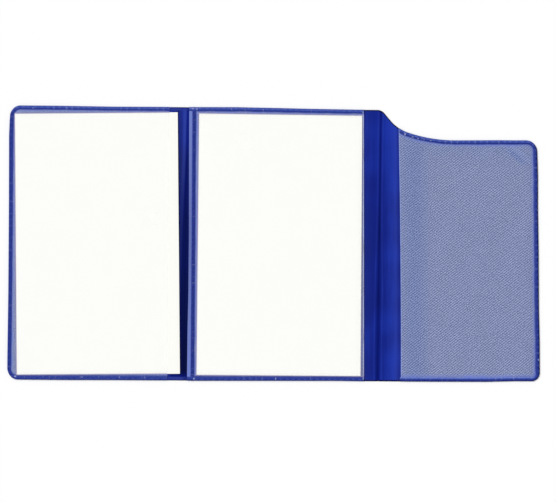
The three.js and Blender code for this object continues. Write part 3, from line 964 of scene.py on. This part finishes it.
def makeFilms():
    x, y = filmGrid(leftEdge, leftMouth, filmInsets[1:], mouthInsets)
    inside = edgeDistance(x, y) - outline["weldWidth"]
    material = embossedClearVinyl("embossedClearPvcLeft", leftSheet)
    left = makeFilm("leftPocketFilm", material, "left_pocket_film", x, y, inside, leftMouth - x, 31, True)
    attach(left, "left_panel")

    nearSeam = flangeInsets + [seamOuter - leftFold + d for d in seamInsets]
    x, y = filmGrid(leftFold, middleMouth, nearSeam, mouthInsets)
    x = x + curveThrough(film["flangeEdges"], y) * ease(1 - (x - leftFold) / outline["flangeWidth"])
    inside = np.minimum(np.minimum(topEdge - y, y - bottomEdge) - outline["weldWidth"], x - seamInner)
    reach = sheets["middleReach"]
    clearArea = middleSheet + [(0, 0), (reach, 0), (reach, 0), (0, 0)]
    material = embossedClearVinyl("embossedClearPvcMiddle", clearArea)
    mouth = middleMouth - x
    middle = makeFilm("middlePocketFilm", material, "middle_pocket_film", x, y, inside, mouth, 33, True)
    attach(middle, "middle_panel")

    x, y = filmGrid(rightMouth, rightEdge, mouthInsets, filmInsets[1:])
    mouth = x - rightMouth
    x = x + curveThrough(film["mouthPlaces"], y) * ease(1 - mouth / film["mouthReach"])
    inside = edgeDistance(x, y) - outline["weldWidth"]
    material = embossedClearVinyl("embossedClearPvcRight")
    right = makeFilm("rightPocketFilm", material, "right_pocket_film", x, y, inside, mouth, 35, False)
    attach(right, "right_panel")


makeFilms()
print("pocket films made")


# The welded edges
weld = {
    # The bead's section: height above its foot at each distance in from the cut edge
    "section": [(0, 0.06), (0.12, 0.1), (0.3, 0.14), (0.6, 0.26), (0.8, 0.28), (1.2, 0.28), (1.45, 0.2),
                (1.6, 0.1), (1.95, 0.1), (2.0, 0.08)],
    # How light it is at each distance in, by the side it runs along: painted light and shade on the bead, by
    # the way that side faces
    "top": [(0, 0.3), (0.2, 0.5), (0.5, 0.74), (0.9, 0.72), (1.3, 0.46), (1.7, 0.4), (2.0, 0.52)],
    "bottom": [(0, 0.2), (0.35, 0.26), (0.7, 0.38), (1.4, 0.42), (2.0, 0.56)],
    "left": [(0, 0.3), (0.4, 0.36), (1.0, 0.4), (1.6, 0.43), (2.0, 0.52)],
    "right": [(0, 0.02), (0.4, 0.06), (0.75, 0.52), (1.0, 0.5), (1.3, 0.3), (1.6, 0.34), (2.0, 0.6)],
    "flap": [(0, 0.3), (0.25, 0.62), (0.6, 0.8), (1.0, 0.74), (1.35, 0.36), (1.7, 0.28), (2.0, 0.5)],
    "flapFoot": [(0, 0.1), (0.35, 0.2), (0.8, 0.28), (1.2, 0.48), (1.6, 0.82), (2.0, 0.98)],
    "seam": [(0, 0.85), (0.1, 0.7), (0.32, 0.38), (1.5, 0.33), (2.0, 0.5)],
    # How much lighter or darker its pressed stitches are there, as painted light and shade
    "stitchTones": {"top": -0.06, "bottom": 0.2, "left": -0.1, "right": -0.15,
                    "flap": -0.14, "flapFoot": 0.12, "seam": -0.1},
    "stitchPitch": 3.1,
    "stitchLength": 2.1,
    "stitchWidth": 0.55,
    "stitchDepth": 0.14,
    "stitchInset": 0.78,
    "stitchEnd": 0.08,      # how far a stitch takes to sink in, as a share of the pitch along the weld
    "stitchSide": 0.12,     # and across it
    "stepPitch": 0.3,
    "arcPieces": {"topLeft": 26, "bottomLeft": 28, "bottomRight": 20, "flap": 26, "wide": 80, "tight": 18},
    "gapGlint": 0.15,         # how pale the painted glints in the gaps between stitches are at most
    "gapGlintWidth": 0.35,
    "gapGlintStart": 0.3,     # how far in from the cut edge
    "cornerEase": 0.5,      # how far a stitch row takes to end where two welds meet
    # Single painted glints, as pale spots and slits: their middle, half their width and height, and how pale
    # they are
    "glintSpots": [(-135.75, -68.3, 0.85, 0.5, 1.0), (131.3, -59.2, 0.7, 0.3, 0.9), (-45.8, -69.0, 0.5, 0.6, 0.8),
              (-4.2, -68.9, 0.35, 0.9, 0.7), (-83.4, -68.5, 0.3, 0.7, 0.5), (-70.7, -68.5, 0.3, 0.7, 0.5),
              (-102.2, -68.5, 0.8, 0.4, 0.4), (-27.4, 69.0, 0.25, 0.8, 0.6), (-11.2, 69.0, 0.25, 0.8, 0.5),
              (-47.2, 69.2, 0.6, 0.6, 0.6), (-45.2, 69.0, 0.6, 0.7, 0.6), (-128.7, 68.7, 0.8, 0.35, 0.45),
              (-111.5, 68.8, 0.5, 0.4, 0.45), (62.5, 57.4, 0.38, 1.1, 0.95), (66.5, 56.0, 0.8, 0.4, 0.6),
              (69.3, 55.2, 0.5, 0.5, 0.65), (72.4, 54.8, 0.3, 0.7, 0.5), (75.9, 54.2, 0.7, 0.35, 0.55),
              (40.7, 68.4, 0.5, 1.3, 0.6), (40.7, -68.6, 0.5, 1.2, 0.5)],
}
sectionInsets = np.array([
    0, 0.06, 0.14, 0.3, 0.45, 0.55, 0.66, 0.78, 0.9, 1.01, 1.12, 1.25, 1.4, 1.5, 1.6, 1.75, 1.9, 1.97, 2.0])


def stitches(run, inset):
    # 1 in the pressed stitches, which follow the bead at an even pitch
    phase = (run / weld["stitchPitch"]) % 1 - 0.5
    length = weld["stitchLength"] / weld["stitchPitch"] / 2
    along = ease((length - np.abs(phase)) / weld["stitchEnd"])
    side = weld["stitchSide"]
    across = ease((weld["stitchWidth"] / 2 + side / 2 - np.abs(inset - weld["stitchInset"])) / side)
    return along * across


def paintedGlints(x, y, run, inset):
    # Painted glints: faint ones in the gaps between the stitches, and the single pale spots
    place = run / weld["stitchPitch"] + 0.5
    between = np.abs(place % 1 - 0.5) * weld["stitchPitch"]
    draws = np.random.default_rng(7).uniform(0, 1, 400)    # more than a weld has stitches
    strength = weld["gapGlint"] * draws[place.astype(int) % len(draws)] ** 3
    start = weld["gapGlintStart"]
    mark = bump(between / weld["gapGlintWidth"]) * strength * ease((inset - start) / start)
    for spotX, spotY, halfWidth, halfHeight, pale in weld["glintSpots"]:
        mark = np.maximum(mark, pale * bump(np.hypot((x - spotX) / halfWidth, (y - spotY) / halfHeight)))
    return mark


def finishWeld(piece, node, body):
    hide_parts(node)
    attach(piece, body)


def makeSweptWeld(name, node, body, runLine, upSide, downSide):
    # The last two name the painted light and shade of the stretches along the top and the foot
    lines = np.stack([runLine(t) for t in sectionInsets], 1)
    x, y = lines[..., 0], lines[..., 1]
    guide = runLine(weld["stitchInset"])
    run = np.concatenate([[0], np.cumsum(np.hypot(*np.diff(guide, axis=0).T))])[:, None]
    inset = sectionInsets[None, :]
    pressed = stitches(run, inset)
    outward = (runLine(0) - guide) / weld["stitchInset"]
    facing = {upSide: outward[:, 1], downSide: -outward[:, 1], "left": -outward[:, 0], "right": outward[:, 0]}
    tone = np.zeros(x.shape)
    # Painted light and shade: each side's curve, weighted by how far the weld faces that way
    for side, part in facing.items():
        share = np.clip(part, 0, 1)[:, None] ** 2
        tone += share * (curveThrough(weld[side], inset) + weld["stitchTones"][side] * pressed)
    upper = weldBottom + curveThrough(weld["section"], inset) - weld["stitchDepth"] * pressed
    lower = np.full(x.shape, weldBottom)
    flat = (np.broadcast_to(run, x.shape), np.broadcast_to(inset, x.shape))
    masks = {"tone": tone, "glint": paintedGlints(x, y, flat[0], inset)}
    piece = makePiece(name, fusedEdge, *settled(x, y), upper, lower, flat=flat, masks=masks)
    finishWeld(piece, node, body)


def straight(x0, y0, x1, y1):
    count = max(1, round(math.hypot(x1 - x0, y1 - y0) / weld["stepPitch"]))
    share = np.linspace(0, 1, count + 1)[:, None]
    return np.array([[x0, y0]]) * (1 - share) + np.array([[x1, y1]]) * share


def joined(*stretches):
    # One line of stretches that each end where the next one starts
    return np.vstack([stretch[:-1] for stretch in stretches[:-1]] + [stretches[-1]])


def leftRun(t):
    high, low, pieces = outline["topLeftRadius"], outline["bottomLeftRadius"], weld["arcPieces"]
    return joined(
        straight(leftMouth, topEdge - t, leftEdge + high, topEdge - t),
        cornerLine("topLeft", t, pieces["topLeft"]),
        straight(leftEdge + t, topEdge - high, leftEdge + t, bottomEdge + low),
        cornerLine("bottomLeft", t, pieces["bottomLeft"]),
        straight(leftEdge + low, bottomEdge + t, leftMouth, bottomEdge + t),
    )


def rightRun(t):
    low, high, pieces = outline["bottomRightRadius"], outline["flapRadius"], weld["arcPieces"]
    wide, tight = outline["wideRadius"] + t, outline["tightRadius"] + t
    end = -math.acos((rightMouth - step["tight"][0]) / tight)     # where the tight arc meets the mouth
    turn = down - outline["wideAngle"]
    return joined(
        straight(rightMouth, bottomEdge + t, rightEdge - low, bottomEdge + t),
        cornerLine("bottomRight", t, pieces["bottomRight"]),
        straight(rightEdge - t, bottomEdge + low, rightEdge - t, flapTop - high),
        cornerLine("flap", t, pieces["flap"]),
        straight(rightEdge - high, flapTop - t, step["wide"][0], flapTop - t),
        arcPoints(*step["wide"], wide, down, turn, pieces["wide"]),
        arcPoints(*step["tight"], tight, turn, end, pieces["tight"]),
    )


def makeMiddleWeld():
    width, slack = outline["weldWidth"], 1e-4    # slack, because the grid's places are rounded
    nearSeam = [seamOuter - leftFold + t for t in sectionInsets]
    columns = places(leftFold, middleMouth, weld["stepPitch"], nearSeam)
    rows = places(bottomEdge, topEdge, weld["stepPitch"], sectionInsets, sectionInsets)
    x, y = np.meshgrid(columns, rows, indexing="ij")
    fromTop, fromBottom, fromSeam = topEdge - y, y - bottomEdge, x - seamOuter
    endFree = ease((x - seamInner) / weld["cornerEase"])
    seamFree = ease((np.minimum(fromTop, fromBottom) - width) / weld["cornerEase"])
    heights, tones, marks, glint = [], [], [], np.zeros(x.shape)
    bands = [("top", fromTop, x, endFree), ("bottom", fromBottom, x, endFree),
             ("seam", fromSeam, y, seamFree)]
    # Each band takes its side's painted light and shade
    for side, inset, run, free in bands:
        within = (inset > -slack) & (inset < width + slack)
        pressed = stitches(run, inset) * within * free
        heights.append(within * curveThrough(weld["section"], inset))
        tones.append(within * curveThrough(weld[side], inset) + weld["stitchTones"][side] * pressed)
        marks.append(pressed)
        glint = np.maximum(glint, paintedGlints(x, y, run + topEdge, inset) * within)
    upper = weldBottom + np.max(heights, axis=0) - weld["stitchDepth"] * np.max(marks, axis=0)
    tone = np.where((fromTop < width) | (fromBottom < width), np.maximum(tones[0], tones[1]), tones[2])
    # Only the bands themselves are kept, by the middle of each face
    middleX, middleY = (columns[1:] + columns[:-1]) / 2, (rows[1:] + rows[:-1]) / 2
    inBand = (middleY > topEdge - width) | (middleY < bottomEdge + width)
    inSeam = (middleX > seamOuter) & (middleX < seamInner)
    kept = inBand[None, :] | inSeam[:, None]
    lower = np.full(x.shape, weldBottom)
    masks = {"tone": tone, "glint": glint}
    piece = makePiece("middleEdgeWeld", fusedEdge, *settled(x, y), upper, lower, kept=kept, masks=masks)
    finishWeld(piece, "middle_edge_weld", "middle_panel")


makeSweptWeld("leftEdgeWeld", "left_edge_weld", "left_panel", leftRun, "top", "bottom")
makeSweptWeld("rightEdgeWeld", "right_edge_weld", "right_panel", rightRun, "flap", "flapFoot")
makeMiddleWeld()
print("welded edges made")

bpy.context.scene.view_settings.view_transform = "Standard"
print("finished")
